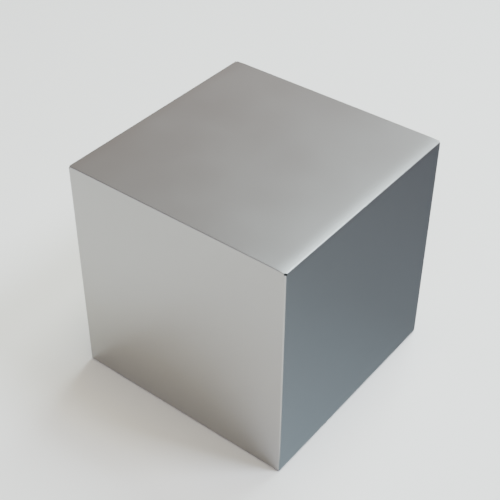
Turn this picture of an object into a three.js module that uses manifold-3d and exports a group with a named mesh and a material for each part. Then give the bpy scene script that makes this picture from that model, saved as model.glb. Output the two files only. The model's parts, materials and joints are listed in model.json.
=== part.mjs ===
// A mirror block cube: a 3x3x3 twisting puzzle whose six outer layers all have different thicknesses,
// so that it is a plain cube only when solved. Millimetres, +Z up, standing on z = 0, centred on the
// Z axis.
//
// Every cut is a plane or a sphere about the core. Outside the shoulder sphere the blocks are parted at
// the layer planes, and between the core sphere and the shoulder sphere they are parted closer in. So the
// corners' feet reach under the edges, the edges' feet reach under the centres, and every layer turns
// freely about its own axis.
import * as THREE from "three";
import { RoundedBoxGeometry } from "three/addons/geometries/RoundedBoxGeometry.js";
import { mergeVertices } from "three/addons/utils/BufferGeometryUtils.js";
import Module from "manifold-3d";

const wasm = await Module();
wasm.setup();

// Outer size and layers
const CUBE = 57;
const EDGE_RADIUS = 0.4;
const EDGE_STEPS = 2;
const MIDDLE_LAYER = 19;
const RIGHT_LAYER = 10;
const FRONT_LAYER = 13;
const BOTTOM_LAYER = 21;
const RUNNING_GAP = 0.12;

// The core's centre, where the three turning axes meet
const HALF_LAYER = MIDDLE_LAYER / 2;
const CORE = new THREE.Vector3(
  CUBE / 2 - RIGHT_LAYER - HALF_LAYER,
  -CUBE / 2 + FRONT_LAYER + HALF_LAYER,
  BOTTOM_LAYER + HALF_LAYER,
);

// Feet: a shell between two spheres, parted at FOOT_CUT from the core's centre
const CORE_SPHERE = 10.5;
const SHOULDER_SPHERE = 18.9;
const SHOULDER_GAP = 0.45;
const FOOT_CUT = 7.4;
const FOOT_GAP = 0.3;
const SPHERE_SEGMENTS = 32;

// Centre blocks, with the screw, washer and spring along each arm; heights are from the core's centre
const CENTRE_TOP = 18.6;
const CAP_GAP = 0.1;
const WELL_FLOOR = 12;
const WELL_RADIUS = 4.2;
const SHANK_BORE = 1.7;
const SPIGOT_RADIUS = 3.8;
const SPIGOT_DEPTH = 0.4;
const SPRING_RADIUS = 2.7;
const SPRING_WIRE = 0.32;
const SPRING_TURNS = 4;
const SPRING_STEPS_PER_TURN = 9;
const SPRING_TOP = 15.9;
const SEAT_GAP = 0.1;
const WASHER_RADIUS = 3.4;
const WASHER_BORE = 1.6;
const WASHER_THICKNESS = 0.4;
const SCREW_HEAD_RADIUS = 2.7;
const SCREW_HEAD_HEIGHT = 1.1;
const SCREW_SHANK_RADIUS = 1.25;
const SCREW_TIP = 4.6;
const DRIVE_RADIUS = 0.9;
const DRIVE_DEPTH = 0.7;

// Core
const CORE_BALL = 5.5;
const ARM_RADIUS = 3.1;
const ARM_END = 9.5;
const ARM_BORE = 1.5;
const ARM_BORE_END = 4.2;

const ROUND_SEGMENTS = 16;
const HEX_SIDES = 6;
const WIRE_ARC_STEPS = 3;
const OVERRUN = 1; // a cutter runs this far past the face it cuts
const OVERLAP = 0.2; // two solids that are joined share this much
const FAR = 3 * CUBE;

const FILM = { color: 0xb6b5b1, roughness: 0.34, metalness: 0.9 };
const BLACK_ABS = { color: 0x1b1c1e, roughness: 0.55, metalness: 0 };
const WHITE_NYLON = { color: 0xd9d8d2, roughness: 0.5, metalness: 0 };
const STEEL = { color: 0x9b9c9e, roughness: 0.35, metalness: 1 };

// A closed three.js geometry as a solid.
function solid(geometry) {
  const bare = geometry.index ? geometry.toNonIndexed() : geometry.clone();
  bare.deleteAttribute("normal");
  bare.deleteAttribute("uv");
  const merged = mergeVertices(bare, 1e-4);
  return new wasm.Manifold(
    new wasm.Mesh({
      numProp: 3,
      vertProperties: new Float32Array(merged.attributes.position.array),
      triVerts: new Uint32Array(merged.index.array),
    }),
  );
}

// A solid as a named mesh.
function piece(name, body, finish) {
  const made = body.getMesh();
  const geometry = new THREE.BufferGeometry();
  geometry.setAttribute("position", new THREE.BufferAttribute(made.vertProperties, 3));
  geometry.setIndex(new THREE.BufferAttribute(made.triVerts, 1));
  const flat = geometry.toNonIndexed();
  flat.computeVertexNormals();
  const mesh = new THREE.Mesh(flat, new THREE.MeshStandardMaterial(finish));
  mesh.name = name;
  return mesh;
}

function boxBetween(low, high) {
  const size = new THREE.Vector3().subVectors(high, low);
  const middle = new THREE.Vector3().addVectors(low, high).multiplyScalar(0.5);
  return solid(new THREE.BoxGeometry(size.x, size.y, size.z).translate(middle.x, middle.y, middle.z));
}

function sphere(radius) {
  const ball = new THREE.SphereGeometry(radius, SPHERE_SEGMENTS, SPHERE_SEGMENTS / 2);
  return solid(ball.translate(CORE.x, CORE.y, CORE.z));
}

// One cell of the 3x3x3 grid, cut at +-half from the core, with half a gap off each cut. cell is -1, 0 or
// 1 on each axis.
function gridCell(cell, half, gap) {
  const low = new THREE.Vector3();
  const high = new THREE.Vector3();
  ["x", "y", "z"].forEach((axis, i) => {
    const side = cell[i];
    low[axis] = CORE[axis] + (side > 0 ? half + gap / 2 : side < 0 ? -FAR : -half + gap / 2);
    high[axis] = CORE[axis] + (side < 0 ? -half - gap / 2 : side > 0 ? FAR : half - gap / 2);
  });
  return boxBetween(low, high);
}

// Turns a shape made along +Z from the core's centre to point along cell's own direction.
function alongArm(geometry, cell) {
  const up = new THREE.Vector3(0, 0, 1);
  const turn = new THREE.Quaternion().setFromUnitVectors(up, new THREE.Vector3(...cell));
  return geometry.applyQuaternion(turn).translate(CORE.x, CORE.y, CORE.z);
}

// A turned shape along an arm: profile is [radius, height] pairs, closed on the axis or on itself.
function turned(profile, cell) {
  const points = profile.map(([radius, height]) => new THREE.Vector2(radius, height));
  const lathe = new THREE.LatheGeometry(points, ROUND_SEGMENTS);
  return solid(alongArm(lathe.rotateX(Math.PI / 2), cell));
}

function cylinder(radius, from, to, cell) {
  return turned([[0, from], [radius, from], [radius, to], [0, to]], cell);
}

const outside = solid(
  new RoundedBoxGeometry(CUBE, CUBE, CUBE, EDGE_STEPS, EDGE_RADIUS).translate(0, 0, CUBE / 2),
);
const coreSphere = sphere(CORE_SPHERE);
const footSphere = sphere(SHOULDER_SPHERE);
const shoulderSphere = sphere(SHOULDER_SPHERE + SHOULDER_GAP);

// A block's outer part stands outside the shoulder sphere, its foot inside it, and a neck joins them
// where the two cells share room.
function block(cell) {
  const outerCell = gridCell(cell, HALF_LAYER, RUNNING_GAP).intersect(outside);
  const footCell = gridCell(cell, FOOT_CUT, FOOT_GAP);
  const head = outerCell.subtract(shoulderSphere);
  const foot = footCell.intersect(footSphere);
  const neck = outerCell.intersect(footCell);
  return head.add(foot).add(neck).subtract(coreSphere);
}

// The slab of space beyond a height along an arm.
function beyond(height, cell) {
  const slab = new THREE.BoxGeometry(FAR, FAR, FAR).translate(0, 0, height + FAR / 2);
  return solid(alongArm(slab, cell));
}

function centreBlock(cell) {
  const well = cylinder(WELL_RADIUS, WELL_FLOOR, CENTRE_TOP + OVERRUN, cell);
  const bore = cylinder(SHANK_BORE, CORE_SPHERE - OVERRUN, WELL_FLOOR + OVERRUN, cell);
  return block(cell).subtract(beyond(CENTRE_TOP, cell)).subtract(well).subtract(bore);
}

function centreCap(cell) {
  const plate = gridCell(cell, HALF_LAYER, RUNNING_GAP).intersect(outside);
  const underside = CENTRE_TOP + CAP_GAP;
  const spigot = cylinder(SPIGOT_RADIUS, CENTRE_TOP - SPIGOT_DEPTH, underside + OVERLAP, cell);
  return plate.intersect(beyond(underside, cell)).add(spigot);
}

// A round wire wound SPRING_TURNS times along +Z.
class Helix extends THREE.Curve {
  getPoint(t, target = new THREE.Vector3()) {
    const angle = 2 * Math.PI * SPRING_TURNS * t;
    const low = WELL_FLOOR + SEAT_GAP + SPRING_WIRE;
    const high = SPRING_TOP - SPRING_WIRE;
    const x = SPRING_RADIUS * Math.cos(angle);
    const y = SPRING_RADIUS * Math.sin(angle);
    return target.set(x, y, low + (high - low) * t);
  }
}

function spring(cell) {
  const wire = new THREE.Shape().absarc(0, 0, SPRING_WIRE, 0, 2 * Math.PI, false);
  const coil = new THREE.ExtrudeGeometry(wire, {
    steps: SPRING_STEPS_PER_TURN * SPRING_TURNS,
    curveSegments: WIRE_ARC_STEPS,
    extrudePath: new Helix(),
  });
  return solid(alongArm(coil, cell));
}

const WASHER_LOW = SPRING_TOP + SEAT_GAP;
const WASHER_HIGH = WASHER_LOW + WASHER_THICKNESS;
const HEAD_LOW = WASHER_HIGH + SEAT_GAP;
const HEAD_HIGH = HEAD_LOW + SCREW_HEAD_HEIGHT;

function washer(cell) {
  const section = [
    [WASHER_BORE, WASHER_LOW],
    [WASHER_RADIUS, WASHER_LOW],
    [WASHER_RADIUS, WASHER_HIGH],
    [WASHER_BORE, WASHER_HIGH],
    [WASHER_BORE, WASHER_LOW],
  ];
  return turned(section, cell);
}

function screw(cell) {
  const shank = cylinder(SCREW_SHANK_RADIUS, SCREW_TIP, HEAD_LOW + OVERLAP, cell);
  const head = cylinder(SCREW_HEAD_RADIUS, HEAD_LOW, HEAD_HIGH, cell);
  const drive = new THREE.CylinderGeometry(DRIVE_RADIUS, DRIVE_RADIUS, 2 * DRIVE_DEPTH, HEX_SIDES);
  const socket = solid(alongArm(drive.rotateX(Math.PI / 2).translate(0, 0, HEAD_HIGH), cell));
  return head.add(shank).subtract(socket);
}

function core(arms) {
  let body = sphere(CORE_BALL);
  for (const cell of arms) body = body.add(cylinder(ARM_RADIUS, 0, ARM_END, cell));
  for (const cell of arms) body = body.subtract(cylinder(ARM_BORE, ARM_BORE_END, ARM_END + OVERRUN, cell));
  return body;
}

const SIDES = { x: ["left", "", "right"], y: ["front", "", "back"], z: ["bottom", "", "top"] };

// A block's name from its cell, such as top_front_left.
function cellName([x, y, z]) {
  return [SIDES.z[z + 1], SIDES.y[y + 1], SIDES.x[x + 1]].filter(Boolean).join("_");
}

const cube = new THREE.Group();
const centres = [];
for (const x of [-1, 0, 1]) {
  for (const y of [-1, 0, 1]) {
    for (const z of [-1, 0, 1]) {
      const cell = [x, y, z];
      const sides = Math.abs(x) + Math.abs(y) + Math.abs(z);
      const name = cellName(cell);
      if (sides === 3) cube.add(piece("corner_" + name, block(cell), FILM));
      if (sides === 2) cube.add(piece("edge_" + name, block(cell), FILM));
      if (sides === 1) centres.push(cell);
    }
  }
}
for (const cell of centres) {
  const name = cellName(cell);
  cube.add(piece("centre_" + name, centreBlock(cell), BLACK_ABS));
  cube.add(piece("cap_" + name, centreCap(cell), FILM));
  cube.add(piece("screw_" + name, screw(cell), STEEL));
  cube.add(piece("spring_" + name, spring(cell), STEEL));
  cube.add(piece("washer_" + name, washer(cell), STEEL));
}
cube.add(piece("core", core(centres), WHITE_NYLON));

export default cube;
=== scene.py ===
"""Looks for a mirror block cube: satin metal facings over black moulded blocks, round a sprung nylon core.

Everything is in metres, in the CAD model's own frame. Shapes are worked out in millimetres and turned to
metres once, when a mesh is made.
"""
import json
import math

import bpy
import numpy as np
from mathutils import Matrix, Vector


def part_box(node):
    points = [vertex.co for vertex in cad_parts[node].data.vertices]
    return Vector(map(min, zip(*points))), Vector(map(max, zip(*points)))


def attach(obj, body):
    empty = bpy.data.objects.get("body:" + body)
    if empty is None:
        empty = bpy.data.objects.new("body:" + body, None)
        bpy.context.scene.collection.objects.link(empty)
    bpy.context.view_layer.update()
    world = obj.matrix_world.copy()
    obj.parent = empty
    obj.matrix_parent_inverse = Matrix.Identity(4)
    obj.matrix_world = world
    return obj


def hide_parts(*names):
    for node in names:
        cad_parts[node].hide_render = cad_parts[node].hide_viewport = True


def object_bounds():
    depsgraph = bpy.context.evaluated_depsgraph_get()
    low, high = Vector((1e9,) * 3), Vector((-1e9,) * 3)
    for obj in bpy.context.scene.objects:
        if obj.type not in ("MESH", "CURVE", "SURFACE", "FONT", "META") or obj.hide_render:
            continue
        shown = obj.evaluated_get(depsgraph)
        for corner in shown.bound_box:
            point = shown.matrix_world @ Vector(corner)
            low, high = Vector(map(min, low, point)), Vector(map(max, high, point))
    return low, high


bl_info = {
    "name": "Mirror Block Cube",
    "version": (1, 0, 0),
    "blender": (4, 5, 0),
    "location": "View3D > Sidebar > Mirror Cube",
    "description": "Finishes a packed mirror block cube with metal facings, moulded blocks and its mechanism",
    "category": "Add Mesh",
}

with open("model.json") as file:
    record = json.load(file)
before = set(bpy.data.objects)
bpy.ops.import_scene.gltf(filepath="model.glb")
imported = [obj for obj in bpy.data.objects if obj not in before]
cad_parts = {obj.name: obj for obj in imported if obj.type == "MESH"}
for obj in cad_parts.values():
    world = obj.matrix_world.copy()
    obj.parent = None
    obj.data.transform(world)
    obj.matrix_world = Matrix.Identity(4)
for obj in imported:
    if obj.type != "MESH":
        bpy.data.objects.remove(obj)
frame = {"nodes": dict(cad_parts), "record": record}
CAD_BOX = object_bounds()

MM = 0.001
SIDE = (CAD_BOX[1].x - CAD_BOX[0].x) / MM
HALF = SIDE / 2
RECORD = frame["record"]
BODY_OF_NODE = {node: body for body, nodes in RECORD["behaviour"]["bodies"].items() for node in nodes}
AXIS_POINT = RECORD["behaviour"]["joints"][0]["pos_m"]
# The core's centre, in millimetres from the middle of the cube
CORE = np.array([AXIS_POINT[0], AXIS_POINT[1], AXIS_POINT[2]]) / MM - np.array([0, 0, HALF])
MIDDLE = np.array([0, 0, HALF])


# Settings

def number(name, text, default, **limits):
    return bpy.props.FloatProperty(name=name, description=text, default=default, **limits)


def colour(name, text, default):
    return bpy.props.StringProperty(name=name, description=text, default=default)


class MirrorCubeSizes(bpy.types.PropertyGroup):
    """Sizes in millimetres."""

    facing_mm: number("Facing", "Thickness of the metal facing, mm", 0.15, min=0.05, max=0.19)
    seam_mm: number("Seam", "Gap between two facings, mm", 0.004, min=0, max=0.5)
    top_round_mm: number("Top round", "Radius of the edges round the top, mm", 0.2, min=0.2, max=3)
    upright_round_mm: number("Upright round", "Radius of the four upright edges, mm", 0.38, min=0.2, max=3)
    base_round_mm: number("Base round", "Radius of the edges round the base, mm", 0.45, min=0.2, max=3)
    roll_mm: number("Roll drop", "How far the top and bottom fall at their sides, mm", 0.15, min=0, max=0.35)
    roll_width_mm: number("Roll width", "Width of the stretch that falls away, mm", 4.2, min=1, max=20)
    notch_mm: number("Corner notch", "Size of the relief where three facings meet, mm", 0.6, min=0, max=2)
    edge_mm: number("Block edges", "Radius that the moulded edges seem to have, mm", 0.18, min=0, max=1)


class MirrorCubeColours(bpy.types.PropertyGroup):
    """Colours as sRGB hex values."""

    facing: colour("Facing", "Satin metal facing", "#A3A19F")
    moulded: colour("Blocks", "Black moulded ABS", "#191A1C")
    nylon: colour("Core", "Natural nylon", "#DAD7CC")
    zinc: colour("Screws", "Bright zinc plate", "#C9CCD0")
    wire: colour("Springs", "Drawn spring wire", "#A9AAAC")
    floor: colour("Floor", "Pale studio floor", "#F5F2EC")


def sizes():
    return bpy.context.scene.mirror_cube_sizes


def colours():
    return bpy.context.scene.mirror_cube_colours


# Materials

def linear(hex_colour):
    """An sRGB hex colour as linear RGBA."""
    parts = [int(hex_colour[i:i + 2], 16) / 255 for i in (1, 3, 5)]
    return [c / 12.92 if c <= 0.04045 else ((c + 0.055) / 1.055) ** 2.4 for c in parts] + [1]


def node(tree, kind, inputs=None, **settings):
    """Adds a node. Each of inputs, by name or place, is joined if it is another node's output and otherwise
    set. A setting that names an input sets its value, and any other sets an attribute."""
    made = tree.nodes.new(kind)
    for key, value in settings.items():
        label = key.replace("_", " ")
        if label in made.inputs:
            made.inputs[label].default_value = value
        else:
            setattr(made, key, value)
    for key, value in (inputs or {}).items():
        if isinstance(value, bpy.types.NodeSocket):
            tree.links.new(value, made.inputs[key])
        else:
            made.inputs[key].default_value = value
    return made


def blank_material(name):
    made = bpy.data.materials.new(name)
    made.use_nodes = True
    made.node_tree.nodes.clear()
    return made, made.node_tree


def finish_material(made, tree, shader):
    node(tree, "ShaderNodeOutputMaterial", {"Surface": shader.outputs["BSDF"]})
    return made


def object_coordinates(tree):
    return node(tree, "ShaderNodeTexCoord").outputs["Object"]


def softened_edges(tree):
    """A normal that turns smoothly over a moulded edge, so that the edge catches a thin line of light."""
    return node(tree, "ShaderNodeBevel", Radius=sizes().edge_mm * MM).outputs["Normal"]


def satin_metal():
    """Satin metallised facing, blasted fine and clear lacquered: reflections are soft and have no grain that
    the eye can follow, only slight clouding where it has been handled."""
    made, tree = blank_material("satin_metal_facing")
    where = object_coordinates(tree)
    # Handling clouds about 12 mm across change the roughness a little.
    clouds = node(tree, "ShaderNodeTexNoise", {"Vector": where}, Scale=1 / 0.012, Detail=3)
    rough = node(tree, "ShaderNodeMapRange", {"Value": clouds.outputs["Fac"]}, To_Min=0.3, To_Max=0.36)
    # The blasting's pits are under 0.1 mm, too fine to show, so they are drawn 0.35 mm apart.
    pits = node(tree, "ShaderNodeTexNoise", {"Vector": where}, Scale=1 / 0.00035, Detail=2)
    relief = node(
        tree, "ShaderNodeBump", {"Height": pits.outputs["Fac"]}, Strength=0.05, Distance=0.00002,
    )
    shader = node(
        tree, "ShaderNodeBsdfPrincipled",
        {"Roughness": rough.outputs["Result"], "Normal": relief.outputs["Normal"]},
        Base_Color=linear(colours().facing), Metallic=1.0,
    )
    return finish_material(made, tree, shader)


def moulded_abs():
    """Black ABS from a lightly sparked mould: a dull sheen with fine even grain."""
    made, tree = blank_material("black_moulded_abs")
    where = object_coordinates(tree)
    # Spark-eroded texture about 0.25 mm across
    grain = node(tree, "ShaderNodeTexNoise", {"Vector": where}, Scale=1 / 0.00025, Detail=2)
    rough = node(tree, "ShaderNodeMapRange", {"Value": grain.outputs["Fac"]}, To_Min=0.42, To_Max=0.6)
    relief = node(
        tree, "ShaderNodeBump", {"Height": grain.outputs["Fac"], "Normal": softened_edges(tree)},
        Strength=0.25, Distance=0.00004,
    )
    shader = node(
        tree, "ShaderNodeBsdfPrincipled",
        {"Roughness": rough.outputs["Result"], "Normal": relief.outputs["Normal"]},
        Base_Color=linear(colours().moulded), IOR=1.53,
    )
    return finish_material(made, tree, shader)


def natural_nylon():
    """Natural nylon, moulded: creamy and waxy, with faint flow marks."""
    made, tree = blank_material("natural_nylon")
    where = object_coordinates(tree)
    # Flow marks about 4 mm apart
    flow = node(tree, "ShaderNodeTexNoise", {"Vector": where}, Scale=1 / 0.004, Detail=3)
    rough = node(tree, "ShaderNodeMapRange", {"Value": flow.outputs["Fac"]}, To_Min=0.36, To_Max=0.48)
    shader = node(
        tree, "ShaderNodeBsdfPrincipled",
        {"Roughness": rough.outputs["Result"], "Normal": softened_edges(tree)},
        Base_Color=linear(colours().nylon), IOR=1.53, Subsurface_Weight=0.15, Subsurface_Scale=0.001,
    )
    return finish_material(made, tree, shader)


def plated_metal(name, hex_colour, low, high, spacing_mm):
    """Plated or drawn steel: bright, with fine uneven polish at the given spacing."""
    made, tree = blank_material(name)
    where = object_coordinates(tree)
    polish = node(tree, "ShaderNodeTexNoise", {"Vector": where}, Scale=1 / (spacing_mm * MM), Detail=3)
    rough = node(tree, "ShaderNodeMapRange", {"Value": polish.outputs["Fac"]}, To_Min=low, To_Max=high)
    shader = node(
        tree, "ShaderNodeBsdfPrincipled", {"Roughness": rough.outputs["Result"]},
        Base_Color=linear(hex_colour), Metallic=1.0,
    )
    return finish_material(made, tree, shader)


MAKERS = {
    "satin_metal_facing": satin_metal,
    "black_moulded_abs": moulded_abs,
    "natural_nylon": natural_nylon,
    "bright_zinc_plate": lambda: plated_metal("bright_zinc_plate", colours().zinc, 0.18, 0.32, 0.6),
    "drawn_spring_wire": lambda: plated_metal("drawn_spring_wire", colours().wire, 0.22, 0.34, 0.3),
}


def material(name):
    """The named material, made the first time it is asked for."""
    return bpy.data.materials.get(name) or MAKERS[name]()


# Meshes

def add_piece(name, points_mm, faces, finish, body, sharp_degrees=35):
    """A mesh object from points in millimetres about the cube's middle, shaded smooth but for sharp edges."""
    mesh = bpy.data.meshes.new(name)
    mesh.from_pydata((points_mm + MIDDLE) * MM, [], faces)
    mesh.validate()
    mesh.shade_smooth()
    mesh.set_sharp_from_angle(angle=math.radians(sharp_degrees))
    mesh.materials.append(material(finish))
    made = bpy.data.objects.new(name, mesh)
    bpy.context.scene.collection.objects.link(made)
    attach(made, body)
    return made


def grid_faces(rows, columns):
    """Quads of a grid of rows by columns points, numbered along the columns."""
    first = (np.arange(rows - 1)[:, None] * columns + np.arange(columns - 1)[None, :]).ravel()
    return np.column_stack([first, first + 1, first + columns + 1, first + columns])


def joined(points, faces):
    """The same surface with points that coincide made one."""
    _, first, place = np.unique(np.round(points, 6), axis=0, return_index=True, return_inverse=True)
    return points[first], place.ravel()[faces]


def rim_edges(faces):
    """The edges that only one face has, each in that face's own direction."""
    edges = np.concatenate([np.column_stack([faces[:, i], faces[:, (i + 1) % 4]]) for i in range(4)])
    ordered = np.sort(edges, axis=1)
    _, place, count = np.unique(ordered, axis=0, return_inverse=True, return_counts=True)
    return edges[count[place.ravel()] == 1]


def shell(outer, inner, faces):
    """A closed sheet: the outer surface, the inner one turned round, and a wall along the rim."""
    rim = rim_edges(faces)
    back = faces[:, ::-1] + len(outer)
    wall = np.column_stack([rim[:, 1], rim[:, 0], rim[:, 0] + len(outer), rim[:, 1] + len(outer)])
    return np.concatenate([outer, inner]), np.concatenate([faces, back, wall])


# Metal facings

ROUND_STEPS = 5
ROLL_STEPS = 10
ROLL_FADE = 4.0
FLAT_STEP = 4.0


def stations(low, high):
    """Sample places from low to high along one axis. Where an end is the cube's own edge, samples are set
    for equal angles round each of the edge radii, then crowd a little over the rolled stretch."""
    width = sizes().roll_width_mm
    tangents = np.tan(np.linspace(0, math.pi / 4, ROUND_STEPS))
    # On the sharp cube a point at tan(angle) times the radius past an arc's start lies at that angle.
    radii = (sizes().top_round_mm, sizes().upright_round_mm, sizes().base_round_mm)
    arcs = [HALF - radius + radius * tangents for radius in radii]
    roll = np.linspace(HALF - width, HALF - max(radii), ROLL_STEPS, endpoint=False)
    inner_end = HALF - width
    flat = np.linspace(-inner_end, inner_end, int(2 * inner_end / FLAT_STEP) + 1)
    ends = np.concatenate([roll, *arcs])
    every = np.unique(np.concatenate([-ends, flat, ends, [low, high]]).round(6))
    return every[(every >= low - 1e-6) & (every <= high + 1e-6)]


def rolled(points):
    """Brings the top and base nearer the middle along the left and right sides: by nothing over the middle of
    the cube, and by the cube of the way into the stretch along a side. The change fades to nothing over the
    first millimetres below the face, so that the layers' cuts stay flat."""
    width = sizes().roll_width_mm
    height = np.abs(points[:, 2])
    into = np.clip((np.abs(points[:, 0]) - (HALF - width)) / width, 0, None)
    near_face = np.clip((height - (HALF - ROLL_FADE)) / ROLL_FADE, 0, None)
    lowered = points.copy()
    lowered[:, 2] = np.sign(points[:, 2]) * (height - sizes().roll_mm * into ** 3 * near_face)
    return lowered


def cube_surface(points, inset):
    """Takes points on a sharp cube to the real surface, inset by a thickness.

    Edges round the top and base: how far a point stands out sideways and how far upwards, past a cube smaller
    by the radius, make a pair, which is scaled to the radius. Upright edges: in plan each point goes to the
    nearest point of a smaller square, then out by the radius, which shrinks to nothing inwards on the top and
    base. The roll comes last."""
    plan, height = points[:, :2], points[:, 2]
    radius = np.where(height > 0, sizes().top_round_mm, sizes().base_round_mm)
    inner = HALF - radius
    side = np.abs(plan).max(axis=1)
    out, up = np.clip(side - inner, 0, None), np.clip(np.abs(height) - inner, 0, None)
    share = (radius - inset) / np.hypot(out, up)
    new_side = np.minimum(side, inner) + out * share
    new_height = np.sign(height) * (np.minimum(np.abs(height), inner) + up * share)
    plan = plan * (new_side / np.maximum(side, 1e-9))[:, None]

    full = sizes().upright_round_mm - inset
    corner = np.clip(new_side - (HALF - sizes().upright_round_mm), 0, full)
    limit = (new_side - corner)[:, None]
    near = np.clip(plan, -limit, limit)
    away = plan - near
    length = np.linalg.norm(away, axis=1)
    plan = near + away * (corner / np.maximum(length, 1e-9))[:, None]
    return rolled(np.column_stack([plan, new_height]))


# The CAD blocks stand this far apart, in millimetres, so a centre cap is smaller than its layer by the same.
RUNNING_GAP = 0.12
LAYER_CUTS = {}


def layer_cuts():
    """For each axis the four planes that part the layers, in millimetres about the cube's middle. They are
    halfway across the gaps between a centre cap and its neighbours."""
    if not LAYER_CUTS:
        low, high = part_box("cap_top")
        side_low, side_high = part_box("cap_front")
        spans = [(low.x, high.x), (low.y, high.y), (side_low.z, side_high.z)]
        for axis, (start, end) in enumerate(spans):
            middle = (start + end) / 2 / MM - MIDDLE[axis]
            half_layer = ((end - start) / MM + RUNNING_GAP) / 2
            LAYER_CUTS[axis] = [-HALF, middle - half_layer, middle + half_layer, HALF]
    return LAYER_CUTS


def span_of(cell, axis):
    """A block's low and high planes along an axis, drawn in by half a seam where it meets a neighbour."""
    cuts = layer_cuts()[axis]
    low, high = cuts[cell[axis] + 1], cuts[cell[axis] + 2]
    half_seam = sizes().seam_mm / 2
    return low + half_seam * (cell[axis] > -1), high - half_seam * (cell[axis] < 1)


def facing_sheet(cell):
    """One block's facing: a grid over each of its outward faces on the sharp cube, joined along the cube's
    edges, taken to the real surface and given its thickness."""
    grids, faces, count = [], [], 0
    for axis in range(3):
        side = cell[axis]
        if side == 0:
            continue
        j, k = (axis + 1) % 3, (axis + 2) % 3
        a = stations(*span_of(cell, j))
        b = stations(*span_of(cell, k))
        points = np.empty((len(a) * len(b), 3))
        points[:, axis] = side * HALF
        points[:, j] = np.repeat(a, len(b))
        points[:, k] = np.tile(b, len(a))
        quads = grid_faces(len(a), len(b))
        if side > 0:
            quads = quads[:, ::-1]
        grids.append(points)
        faces.append(quads + count)
        count += len(points)
    sharp, quads = joined(np.concatenate(grids), np.concatenate(faces))
    # The relief: quads within the notch's size of a corner of the cube are left out with their points.
    from_corner = np.linalg.norm(HALF - np.abs(sharp[quads].mean(axis=1)), axis=1)
    quads = quads[from_corner > sizes().notch_mm]
    used, quads = np.unique(quads, return_inverse=True)
    sharp, quads = sharp[used], quads.reshape(-1, 4)
    return shell(cube_surface(sharp, 0), cube_surface(sharp, sizes().facing_mm), quads)


SIDE_WORDS = (("left", "", "right"), ("front", "", "back"), ("bottom", "", "top"))


def block_cells():
    """Every outer block as (CAD node, cell), with the node named as the CAD model names it."""
    found = []
    for x in (-1, 0, 1):
        for y in (-1, 0, 1):
            for z in (-1, 0, 1):
                words = [SIDE_WORDS[2][z + 1], SIDE_WORDS[1][y + 1], SIDE_WORDS[0][x + 1]]
                kind = {1: "cap", 2: "edge", 3: "corner"}.get(abs(x) + abs(y) + abs(z))
                if kind:
                    found.append(("_".join([kind] + [w for w in words if w]), (x, y, z)))
    return found


# Moulded blocks

DRAW_IN_FROM = 2.0


def drawn_in(points_mm, margin):
    """Draws the outermost stretch of the block in by a margin, so that its facing covers it."""
    depth = np.abs(points_mm) - (HALF - DRAW_IN_FROM)
    share = (DRAW_IN_FROM - margin) / DRAW_IN_FROM
    squeezed = np.sign(points_mm) * (HALF - DRAW_IN_FROM + depth * share)
    return rolled(np.where(depth > 0, squeezed, points_mm))


def merged_copy(node_name, name, finish, margin=0.0):
    """A CAD node's mesh as a piece of its own, with coincident points made one."""
    source = frame["nodes"][node_name].data
    points = np.empty(len(source.vertices) * 3)
    source.vertices.foreach_get("co", points)
    points = points.reshape(-1, 3) / MM - MIDDLE
    corners = np.empty(len(source.loops), np.int64)
    source.loops.foreach_get("vertex_index", corners)
    _, first, place = np.unique(points.round(4), axis=0, return_index=True, return_inverse=True)
    faces = place.ravel()[corners.reshape(-1, 3)]
    whole = (faces[:, 0] != faces[:, 1]) & (faces[:, 1] != faces[:, 2]) & (faces[:, 0] != faces[:, 2])
    made = add_piece(name, drawn_in(points[first], margin) if margin else points[first],
                     faces[whole], finish, BODY_OF_NODE[node_name])
    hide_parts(node_name)
    return made


# Mechanism

SIDES = {
    "left": (-1, 0, 0), "right": (1, 0, 0), "front": (0, -1, 0),
    "back": (0, 1, 0), "bottom": (0, 0, -1), "top": (0, 0, 1),
}
ROUND_COUNT = 72
ROUND_ANGLES = np.linspace(0, 2 * math.pi, ROUND_COUNT + 1)
# Screw, in millimetres: plain shank, head and hexagon socket as the CAD model has them
SHANK_RADIUS = 1.25
HEAD_HEIGHT = 1.1
DRIVE_RADIUS = 0.9
DRIVE_DEPTH = 0.7
DRIVE_SIDES = 6
# The thread's crest clears the core's bore, and its rows are this many to a pitch.
THREAD_ROOT = 1.1
THREAD_CREST = 1.4
THREAD_PITCH = 0.5
THREAD_ROWS = 8
THREAD_LEAD = 0.5
EDGE_ROUND = 0.1
WASHER_BORE = 1.6
# Spring, in millimetres: its end turns lie almost closed, this much of the wire's own thickness apart.
SPRING_RADIUS = 2.7
WIRE_RADIUS = 0.32
SPRING_TURNS = 4
CLOSED_PITCH = 1.05
TURN_STEPS = 36
WIRE_SIDES = 16


def arm_frame(direction):
    """Three unit columns, the last along the arm."""
    along = np.array(direction, float)
    across = np.roll(along, 1)
    return np.column_stack([across, np.cross(along, across), along])


def node_heights(node_name, direction):
    """A node's lowest and highest point along an arm, in millimetres from the core's centre."""
    low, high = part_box(node_name)
    ends = np.array([low, high]) / MM - MIDDLE - CORE
    axis = int(np.argmax(np.abs(direction)))
    return sorted(ends[:, axis] * direction[axis])


def node_radius(node_name, direction):
    """Half a node's width across an arm, in millimetres."""
    low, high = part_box(node_name)
    across = int(np.argmin(np.abs(direction)))
    return (high[across] - low[across]) / 2 / MM


def whole_faces(quads):
    """Quads whose points partly coincide, as at a pole, become triangles, and closed-up ones are left out."""
    return [tuple(dict.fromkeys(quad)) for quad in quads.tolist() if len(set(quad)) > 2]


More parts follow.
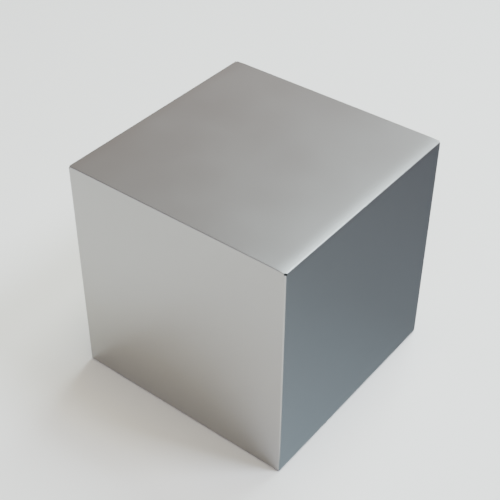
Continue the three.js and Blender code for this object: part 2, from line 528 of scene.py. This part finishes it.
def carried_round(radius, height, direction):
    """Rows of points carried round an arm. A row's radius may change with the angle, and a row on the axis
    becomes one point."""
    radius, height, angle = np.broadcast_arrays(radius, height, ROUND_ANGLES)
    points = np.stack([radius * np.cos(angle), radius * np.sin(angle), height], axis=-1)
    merged, quads = joined(points.reshape(-1, 3), grid_faces(*radius.shape))
    return merged @ arm_frame(direction).T + CORE, whole_faces(quads)


def rounded(corners, radius, steps=3):
    """A line through the corners. All but the first and last are cut by a quadratic curve, which meets both
    sides at the radius from the corner."""
    corners = np.array(corners, float)
    line = [corners[0]]
    for before, corner, after in zip(corners, corners[1:], corners[2:]):
        start = corner + (before - corner) / np.linalg.norm(before - corner) * radius
        end = corner + (after - corner) / np.linalg.norm(after - corner) * radius
        for t in np.linspace(0, 1, steps + 1):
            line.append((1 - t) ** 2 * start + 2 * t * (1 - t) * corner + t ** 2 * end)
    return np.array(line + [corners[-1]])


def screw_surface(side, direction):
    """A socket screw. The thread's radius swings between root and crest as a cosine of the height in pitches
    less the angle in turns, and rises and dies away over one pitch. The socket's radius is a hexagon's: its
    corner radius times the cosine of half a side's angle, over the cosine of the angle from the middle of
    the side."""
    tip, top = node_heights("screw_" + side, direction)
    head_low = top - HEAD_HEIGHT
    head_radius = node_radius("screw_" + side, direction)
    first, last = tip + THREAD_LEAD, node_heights("core", direction)[1] - THREAD_LEAD

    point = rounded([(0, tip), (THREAD_ROOT, tip), (THREAD_ROOT, first)], 2 * EDGE_ROUND)
    rows = np.linspace(first, last, int((last - first) / THREAD_PITCH * THREAD_ROWS))[1:, None]
    ridge = (1 + np.cos(2 * math.pi * rows / THREAD_PITCH - ROUND_ANGLES)) / 2
    strength = np.clip(np.minimum(rows - first, last - rows) / THREAD_PITCH, 0, 1)
    thread = THREAD_ROOT + (THREAD_CREST - THREAD_ROOT) * ridge * strength
    land = DRIVE_RADIUS + 4 * EDGE_ROUND
    head = rounded([(SHANK_RADIUS, last + THREAD_LEAD), (SHANK_RADIUS, head_low), (head_radius, head_low),
                    (head_radius, top), (land, top)], EDGE_ROUND)
    socket = rounded([(land - EDGE_ROUND, top), (DRIVE_RADIUS, top), (DRIVE_RADIUS, top - DRIVE_DEPTH),
                      (0, top - DRIVE_DEPTH)], EDGE_ROUND)
    half_side = math.pi / DRIVE_SIDES
    hexagon = math.cos(half_side) / np.cos(ROUND_ANGLES % (2 * half_side) - half_side)

    even = np.ones(len(ROUND_ANGLES))
    radius = np.concatenate([point[:, :1] * even, thread, head[:, :1] * even, socket[:, :1] * hexagon])
    height = np.concatenate([point[:, 1:], rows, head[:, 1:], socket[:, 1:]])
    return carried_round(radius, height, direction)


def washer_surface(side, direction):
    """A flat washer with its edges rounded. The section starts and ends in the middle of its lower side."""
    low, high = node_heights("washer_" + side, direction)
    outer = node_radius("washer_" + side, direction)
    middle = (WASHER_BORE + outer) / 2
    section = rounded([(middle, low), (outer, low), (outer, high), (WASHER_BORE, high), (WASHER_BORE, low),
                       (middle, low)], EDGE_ROUND)
    return carried_round(section[:, :1], section[:, 1:], direction)


def spring_surface(side, direction):
    """A compression spring of round wire. Its middle line is a helix that climbs slowly over the first and
    last turns and evenly between them. Both ends are cut flat."""
    low, high = node_heights("spring_" + side, direction)
    rise = high - low - 2 * WIRE_RADIUS
    closed = 2 * WIRE_RADIUS * CLOSED_PITCH
    turns = np.linspace(0, SPRING_TURNS, SPRING_TURNS * TURN_STEPS + 1)
    climb = np.interp(turns, [0, 1, SPRING_TURNS - 1, SPRING_TURNS], [0, closed, rise - closed, rise])
    angle = 2 * math.pi * turns
    flat = np.zeros_like(turns)
    out = np.column_stack([np.cos(angle), np.sin(angle), flat])
    line = SPRING_RADIUS * out + np.column_stack([flat, flat, low + WIRE_RADIUS + climb])
    forward = np.gradient(line, axis=0)
    forward /= np.linalg.norm(forward, axis=1)[:, None]
    across = np.cross(forward, out)
    # The first and last rows come twice, once with no radius, which closes the wire's ends.
    order = np.concatenate([[0], np.arange(len(turns)), [len(turns) - 1]])
    thickness = np.full(len(order), WIRE_RADIUS)
    thickness[[0, -1]] = 0
    around = np.linspace(0, 2 * math.pi, WIRE_SIDES + 1)
    ring = (out[order][:, None] * np.cos(around)[None, :, None]
            + across[order][:, None] * np.sin(around)[None, :, None])
    points = line[order][:, None] + ring * thickness[:, None, None]
    merged, quads = joined(points.reshape(-1, 3), grid_faces(len(order), len(around)))
    return merged @ arm_frame(direction).T + CORE, whole_faces(quads)


# Operators, one for each kind of piece

class MIRRORCUBE_OT_facings(bpy.types.Operator):
    """Makes the satin metal facing on each outer block"""

    bl_idname = "mirrorcube.facings"
    bl_label = "Metal Facings"

    def execute(self, context):
        for node_name, cell in block_cells():
            points, faces = facing_sheet(cell)
            add_piece("facing_" + node_name, points, faces, "satin_metal_facing",
                      BODY_OF_NODE[node_name])
        return {"FINISHED"}


class MIRRORCUBE_OT_blocks(bpy.types.Operator):
    """Makes the black moulded body of each outer block and centre cap"""

    bl_idname = "mirrorcube.blocks"
    bl_label = "Moulded Blocks"

    def execute(self, context):
        for node_name, _ in block_cells():
            merged_copy(node_name, "moulding_" + node_name, "black_moulded_abs",
                        sizes().facing_mm)
        return {"FINISHED"}


class MIRRORCUBE_OT_centres(bpy.types.Operator):
    """Finishes the bored centre blocks"""

    bl_idname = "mirrorcube.centres"
    bl_label = "Centre Blocks"

    def execute(self, context):
        for side in SIDES:
            merged_copy("centre_" + side, "hub_" + side, "black_moulded_abs")
        return {"FINISHED"}


class MIRRORCUBE_OT_core(bpy.types.Operator):
    """Finishes the six-armed core"""

    bl_idname = "mirrorcube.core"
    bl_label = "Core"

    def execute(self, context):
        merged_copy("core", "spider_core", "natural_nylon")
        return {"FINISHED"}


class MIRRORCUBE_OT_fasteners(bpy.types.Operator):
    """Finishes the screws, washers and springs along the six arms"""

    bl_idname = "mirrorcube.fasteners"
    bl_label = "Screws, Washers and Springs"

    def execute(self, context):
        kinds = (("screw_", screw_surface, "bright_zinc_plate"),
                 ("washer_", washer_surface, "bright_zinc_plate"),
                 ("spring_", spring_surface, "drawn_spring_wire"))
        for side, direction in SIDES.items():
            for kind, surface, finish in kinds:
                source = kind + side
                points, faces = surface(side, direction)
                made = add_piece("finished_" + source, points, faces, finish,
                                 BODY_OF_NODE[source])
                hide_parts(source)
        return {"FINISHED"}


# Stage

# The camera stands at these lengths from the middle of the footprint, counted in cube sides.
CAMERA_PLACE = (2.03, -2.675, 3.276)
CAMERA_AZIMUTH = 37.65
CAMERA_PITCH = 39.29
CAMERA_ROLL = 0.35
CAMERA_LENS = 77.46
SENSOR_WIDTH = 36
NEAR_LIMIT = 0.01
FLOOR_HALF = 3.0


# Soft light from the room: the way each side lies, its strength and its tint
ROOM_SIDES = (
    ((-1, 0, 0), 0.58, "#FFF7EA"),
    ((0, -1, 0), 1.58, "#DADCF6"),
    ((0, 1, 0), 1.22, "#FFF0EC"),
)
# Lamps: azimuth from the right-hand side and elevation in degrees, side in metres, watts and tint
LAMPS = (
    ("side_window", 25, 55, 0.2, 6.4, "#DCEAFF"),
    ("ceiling_panel", 0, 85, 0.35, 4.4, "#FFF9DC"),
    ("back_window", 90, 59, 0.35, 6.2, "#E2F8FF"),
)
LAMP_DISTANCE = 0.75
# The painted reflection card's glow along Y, from the front to the back: place in metres, strength and tint
CARD_GLOW = ((-0.03, 0.86, "#D8F0FF"), (0.03, 0.46, "#E2F2FF"), (0.11, 0.29, "#E4EEFF"))
# The card lies on the floor just clear of the right-hand face, and reaches past all that the face shows.
CARD_LEFT, CARD_FRONT = (HALF + 0.1) * MM, -(HALF + 2.5) * MM
CARD_RIGHT, CARD_BACK, CARD_HEIGHT = 0.25, 0.3, 0.0001


def add_lamp(name, azimuth, elevation, side, watts, tint):
    """A square soft lamp that points at the middle of the cube."""
    around, up = math.radians(azimuth), math.radians(elevation)
    away = Vector((math.cos(around) * math.cos(up), math.sin(around) * math.cos(up), math.sin(up)))
    data = bpy.data.lights.new(name, "AREA")
    data.size = side
    data.energy = watts
    data.color = linear(tint)[:3]
    lamp = bpy.data.objects.new(name, data)
    lamp.location = Vector(MIDDLE * MM) + away * LAMP_DISTANCE
    lamp.rotation_euler = away.to_track_quat("Z", "Y").to_euler()
    bpy.context.scene.collection.objects.link(lamp)


def make_room():
    """Soft light from the room's sides. Each side's light falls off with the square of the cosine between its
    way and the direction looked in."""
    world = bpy.data.worlds.new("studio_room")
    world.use_nodes = True
    tree = world.node_tree
    direction = node(tree, "ShaderNodeTexCoord").outputs["Generated"]
    total = (0, 0, 0)
    for way, strength, tint in ROOM_SIDES:
        cosine = node(tree, "ShaderNodeVectorMath", {0: direction, 1: way}, operation="DOT_PRODUCT")
        towards = node(tree, "ShaderNodeMath", {0: cosine.outputs["Value"], 1: 0.0}, operation="MAXIMUM")
        share = node(tree, "ShaderNodeMath", {0: towards.outputs[0], 1: 2.0}, operation="POWER")
        light = [strength * part for part in linear(tint)[:3]]
        side = node(tree, "ShaderNodeVectorMath", {0: light, "Scale": share.outputs[0]}, operation="SCALE")
        total = node(tree, "ShaderNodeVectorMath", {0: side.outputs[0], 1: total}, operation="ADD").outputs[0]
    tree.links.new(total, tree.nodes["Background"].inputs["Color"])
    bpy.context.scene.world = world


def add_reflection_card():
    """A glowing blue-grey sheet lying on the floor to the right, which only reflections see: a painted
    reflection. Its glow stands in for the floor in what the right-hand face reflects, and darkens that face
    as a studio flag would, most towards the back."""
    mesh = bpy.data.meshes.new("painted_reflection_card")
    corners = [(CARD_LEFT, CARD_FRONT), (CARD_RIGHT, CARD_FRONT),
               (CARD_RIGHT, CARD_BACK), (CARD_LEFT, CARD_BACK)]
    mesh.from_pydata([(x, y, CARD_HEIGHT) for x, y in corners], [], [(0, 1, 2, 3)])
    made, tree = blank_material("painted_reflection_card")
    place = node(tree, "ShaderNodeSeparateXYZ", {"Vector": object_coordinates(tree)})
    first, last = CARD_GLOW[0][0], CARD_GLOW[-1][0]
    along = node(tree, "ShaderNodeMapRange", {"Value": place.outputs["Y"]}, From_Min=first, From_Max=last)
    ramp = node(tree, "ShaderNodeValToRGB", {"Fac": along.outputs["Result"]})
    ramp.color_ramp.elements.new(0.5)
    for stop, (y, strength, tint) in zip(ramp.color_ramp.elements, CARD_GLOW):
        stop.position = (y - first) / (last - first)
        stop.color = [strength * part for part in linear(tint)[:3]] + [1]
    glow = node(tree, "ShaderNodeEmission", {"Color": ramp.outputs["Color"]}, Strength=1.0)
    node(tree, "ShaderNodeOutputMaterial", {"Surface": glow.outputs["Emission"]})
    mesh.materials.append(made)
    card = bpy.data.objects.new("painted_reflection_card", mesh)
    bpy.context.scene.collection.objects.link(card)
    # Only glossy rays see the card, so its glow paints a reflection on the right-hand face and lights
    # nothing.
    card.visible_camera = card.visible_diffuse = card.visible_shadow = card.visible_transmission = False


class MIRRORCUBE_OT_stage(bpy.types.Operator):
    """Makes the floor, the studio light and the camera"""

    bl_idname = "mirrorcube.stage"
    bl_label = "Stage"

    def execute(self, context):
        mesh = bpy.data.meshes.new("studio_floor")
        corners = [(x * FLOOR_HALF, y * FLOOR_HALF, 0) for x, y in ((-1, -1), (1, -1), (1, 1), (-1, 1))]
        mesh.from_pydata(corners, [], [(0, 1, 2, 3)])
        made, tree = blank_material("painted_floor")
        shader = node(tree, "ShaderNodeBsdfPrincipled", Base_Color=linear(colours().floor), Roughness=0.7)
        mesh.materials.append(finish_material(made, tree, shader))
        floor = bpy.data.objects.new("studio_floor", mesh)
        bpy.context.scene.collection.objects.link(floor)

        make_room()
        for lamp in LAMPS:
            add_lamp(*lamp)
        add_reflection_card()

        data = bpy.data.cameras.new("camera")
        data.sensor_width = SENSOR_WIDTH
        data.lens = CAMERA_LENS
        data.clip_start = NEAR_LIMIT
        camera = bpy.data.objects.new("camera", data)
        camera.location = Vector(CAMERA_PLACE) * SIDE * MM
        a, p, r = (math.radians(x) for x in (CAMERA_AZIMUTH, CAMERA_PITCH, CAMERA_ROLL))
        turn = (Matrix.Rotation(a, 4, "Z") @ Matrix.Rotation(math.pi / 2 - p, 4, "X")
                @ Matrix.Rotation(r, 4, "Z"))
        camera.rotation_euler = turn.to_euler()
        context.scene.collection.objects.link(camera)
        context.scene.camera = camera
        return {"FINISHED"}


class MIRRORCUBE_PT_panel(bpy.types.Panel):
    bl_idname = "MIRRORCUBE_PT_panel"
    bl_label = "Mirror Cube"
    bl_space_type = "VIEW_3D"
    bl_region_type = "UI"
    bl_category = "Mirror Cube"

    def draw(self, context):
        for group in (sizes(), colours()):
            for key in group.bl_rna.properties.keys():
                if key not in ("rna_type", "name"):
                    self.layout.prop(group, key)
        for operator in OPERATORS:
            self.layout.operator(operator.bl_idname)


OPERATORS = (
    MIRRORCUBE_OT_stage,
    MIRRORCUBE_OT_blocks,
    MIRRORCUBE_OT_centres,
    MIRRORCUBE_OT_core,
    MIRRORCUBE_OT_fasteners,
    MIRRORCUBE_OT_facings,
)
CLASSES = (MirrorCubeSizes, MirrorCubeColours, *OPERATORS, MIRRORCUBE_PT_panel)


def register():
    for cls in CLASSES:
        bpy.utils.register_class(cls)
    bpy.types.Scene.mirror_cube_sizes = bpy.props.PointerProperty(type=MirrorCubeSizes)
    bpy.types.Scene.mirror_cube_colours = bpy.props.PointerProperty(type=MirrorCubeColours)


def unregister():
    del bpy.types.Scene.mirror_cube_colours
    del bpy.types.Scene.mirror_cube_sizes
    for cls in reversed(CLASSES):
        bpy.utils.unregister_class(cls)


def main():
    register()
    bpy.ops.mirrorcube.stage()
    bpy.ops.mirrorcube.blocks()
    bpy.ops.mirrorcube.centres()
    bpy.ops.mirrorcube.core()
    bpy.ops.mirrorcube.fasteners()
    bpy.ops.mirrorcube.facings()


if __name__ == "__main__":
    main()
